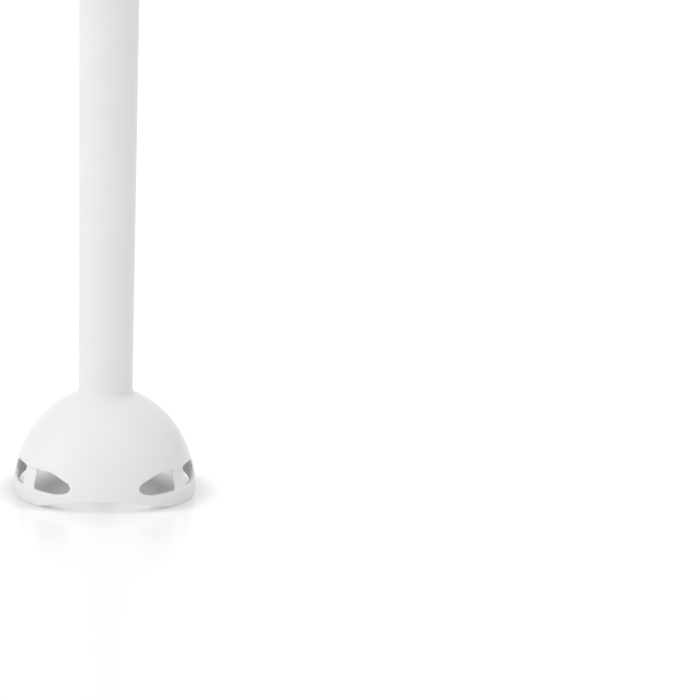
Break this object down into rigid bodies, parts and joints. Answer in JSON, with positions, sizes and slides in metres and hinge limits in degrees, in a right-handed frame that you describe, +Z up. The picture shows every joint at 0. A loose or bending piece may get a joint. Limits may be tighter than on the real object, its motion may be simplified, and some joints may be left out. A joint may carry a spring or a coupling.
{
  "type": "immersion blender",
  "caption": "Hand-held stick mixer: a detachable mixing foot with a domed, windowed blade guard, and a motor handle with push buttons.",
  "frame": {"origin": "on the shaft's axis, at the height of the lowest points of the bell's rim", "axes": "+Z up the shaft towards the handle, -Y towards the side with the push buttons"},
  "size_m": [0.07, 0.07, 0.4],
  "materials": {
    "white_plastic": "satin moulded",
    "light_grey_plastic": "fine texture",
    "mid_grey_plastic": "fine texture",
    "dark_plastic": "moulded",
    "grip_rubber": "soft touch",
    "black_rubber": "smooth",
    "blade_steel": "ground",
    "shaft_steel": "turned",
    "motor_steel": "plated",
    "screw_steel": "plated",
    "spring_steel": "drawn wire",
    "bronze": "sintered",
    "copper": "lacquered wire",
    "magnet": "pressed ferrite",
    "carbon": "pressed graphite",
    "circuit_board": "lacquered",
    "capacitor": "smooth"
  },
  "bodies": {
    "foot": {"foot_housing": "white_plastic", "coupling_collar": "light_grey_plastic", "upper_bush": "bronze", "lower_bush": "bronze", "shaft_seal": "black_rubber", "seal_cap": "light_grey_plastic"},
    "blade_drive": {"drive_shaft": "shaft_steel", "shaft_circlip": "shaft_steel", "lower_drive_dog": "light_grey_plastic", "blade_hub": "blade_steel", "cutting_blade": "blade_steel", "blade_nut": "blade_steel"},
    "handle": {"handle_front_shell": "white_plastic", "handle_rear_shell": "white_plastic", "top_cap": "white_plastic", "trim_ring": "light_grey_plastic", "socket_sleeve": "mid_grey_plastic", "soft_grip": "grip_rubber", "button_bezel": "light_grey_plastic", "speed_button_spring": "spring_steel", "turbo_button_spring": "spring_steel", "circuit_board": "circuit_board", "speed_switch": "dark_plastic", "turbo_switch": "dark_plastic", "emi_capacitor": "capacitor", "latch_spring_left": "spring_steel", "latch_spring_right": "spring_steel", "lower_bulkhead": "mid_grey_plastic", "lower_motor_bearing": "bronze", "motor_can": "motor_steel", "field_magnets": "magnet", "motor_end_cap": "mid_grey_plastic", "upper_motor_bearing": "bronze", "brush_holders": "bronze", "carbon_brushes": "carbon", "lower_damper": "black_rubber", "upper_damper": "black_rubber", "cord_gland": "mid_grey_plastic", "cord_clamp": "light_grey_plastic", "clamp_screws": "screw_steel", "shell_screws": "screw_steel", "motor_screws": "screw_steel"},
    "rotor": {"motor_shaft": "shaft_steel", "armature_core": "motor_steel", "armature_windings": "copper", "commutator": "copper", "cooling_fan": "light_grey_plastic", "upper_drive_dog": "dark_plastic"},
    "speed_button": {"speed_button": "mid_grey_plastic", "speed_plunger": "dark_plastic"},
    "turbo_button": {"turbo_button": "light_grey_plastic", "turbo_plunger": "dark_plastic"},
    "release_left": {"release_button_left": "light_grey_plastic", "latch_slider_left": "mid_grey_plastic"},
    "release_right": {"release_button_right": "light_grey_plastic", "latch_slider_right": "mid_grey_plastic"}
  },
  "joints": [
    {"name": "handle_release", "type": "slide", "parent": "foot", "child": "handle", "axis": [0, 0, 1], "range_m": [0, 0.06]},
    {"name": "motor_spin", "type": "hinge", "parent": "handle", "child": "rotor", "pos_m": [0, 0, 0.3], "axis": [0, 0, 1], "continuous": true},
    {"name": "blade_spin", "type": "hinge", "parent": "foot", "child": "blade_drive", "pos_m": [0, 0, 0.1], "axis": [0, 0, 1], "continuous": true},
    {"name": "speed_press", "type": "slide", "parent": "handle", "child": "speed_button", "axis": [0, 1, 0], "range_m": [0, 0.0016], "stiffness_N_per_m": 900, "deforming": ["speed_button_spring"]},
    {"name": "turbo_press", "type": "slide", "parent": "handle", "child": "turbo_button", "axis": [0, 1, 0], "range_m": [0, 0.0016], "stiffness_N_per_m": 900, "deforming": ["turbo_button_spring"]},
    {"name": "release_left_press", "type": "slide", "parent": "handle", "child": "release_left", "axis": [1, 0, 0], "range_m": [0, 0.0016], "stiffness_N_per_m": 1200, "deforming": ["latch_spring_left"]},
    {"name": "release_right_press", "type": "slide", "parent": "handle", "child": "release_right", "axis": [-1, 0, 0], "range_m": [0, 0.0016], "stiffness_N_per_m": 1200, "deforming": ["latch_spring_right"]}
  ],
  "couplings": [
    {"joint": "blade_spin", "follows": "motor_spin", "ratio": 1}
  ]
}
